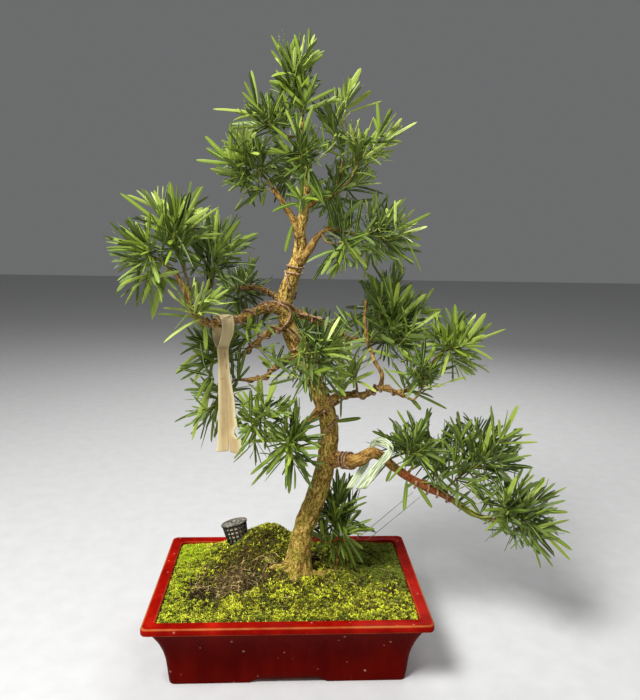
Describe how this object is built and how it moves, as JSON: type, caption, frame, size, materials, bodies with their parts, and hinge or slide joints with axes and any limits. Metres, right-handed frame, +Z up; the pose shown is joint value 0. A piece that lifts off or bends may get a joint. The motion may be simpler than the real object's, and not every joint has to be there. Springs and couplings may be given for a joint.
{
  "type": "podocarpus bonsai",
  "caption": "Podocarpus bonsai with a winding trunk, wired boughs and narrow leaves, in a red glazed rectangular pot with moss, a paper tag and a small feed basket.",
  "frame": {"origin": "on the surface the pot stands on, under the middle of the whole plant's box", "axes": "+Z up along the tree, +X to the right along the pot's long side, +Y to the back; the picture looks along +Y"},
  "size_m": [0.4831, 0.2131, 0.6694],
  "materials": {
    "glaze": "gloss",
    "moss": "matte",
    "bark": "matte",
    "leaf": "satin",
    "basket": "satin",
    "paper": "matte",
    "wire": "satin"
  },
  "bodies": {
    "root": {"basal_stem": "bark", "bough_bottom_left": "bark", "bough_crown_right": "bark", "bough_far_right": "bark", "bough_left": "bark", "bough_left_end": "bark", "bough_low_left": "bark", "bough_low_right": "bark", "bough_lower_left": "bark", "bough_mid_right": "bark", "bough_riser": "bark", "bough_top_right": "bark", "bough_upper_left": "bark", "bough_upper_right": "bark", "fertiliser_basket": "basket", "foliage_apex": "leaf", "foliage_basal": "leaf", "foliage_centre_back": "leaf", "foliage_centre_front": "leaf", "foliage_crown_back": "leaf", "foliage_crown_front": "leaf", "foliage_crown_left_high": "leaf", "foliage_crown_left_low": "leaf", "foliage_crown_right_back": "leaf", "foliage_crown_right_high": "leaf", "foliage_crown_right_low": "leaf", "foliage_far_right": "leaf", "foliage_hanging_left": "leaf", "foliage_left_back": "leaf", "foliage_left_centre": "leaf", "foliage_left_high": "leaf", "foliage_left_inner": "leaf", "foliage_left_tip": "leaf", "foliage_left_under": "leaf", "foliage_low_back": "leaf", "foliage_low_left_front": "leaf", "foliage_low_left_outer": "leaf", "foliage_low_right_high": "leaf", "foliage_low_right_inner": "leaf", "foliage_low_right_tip": "leaf", "foliage_lower_left": "leaf", "foliage_middle_fan": "leaf", "foliage_middle_right": "leaf", "foliage_shoulder_inner": "leaf", "foliage_shoulder_outer": "leaf", "foliage_upper_right": "leaf", "foliage_upper_right_back": "leaf", "fork_left": "bark", "paper_tag": "paper", "pot": "glaze", "small_label": "paper", "soil_moss": "moss", "trunk": "bark"}
  },
  "joints": []
}
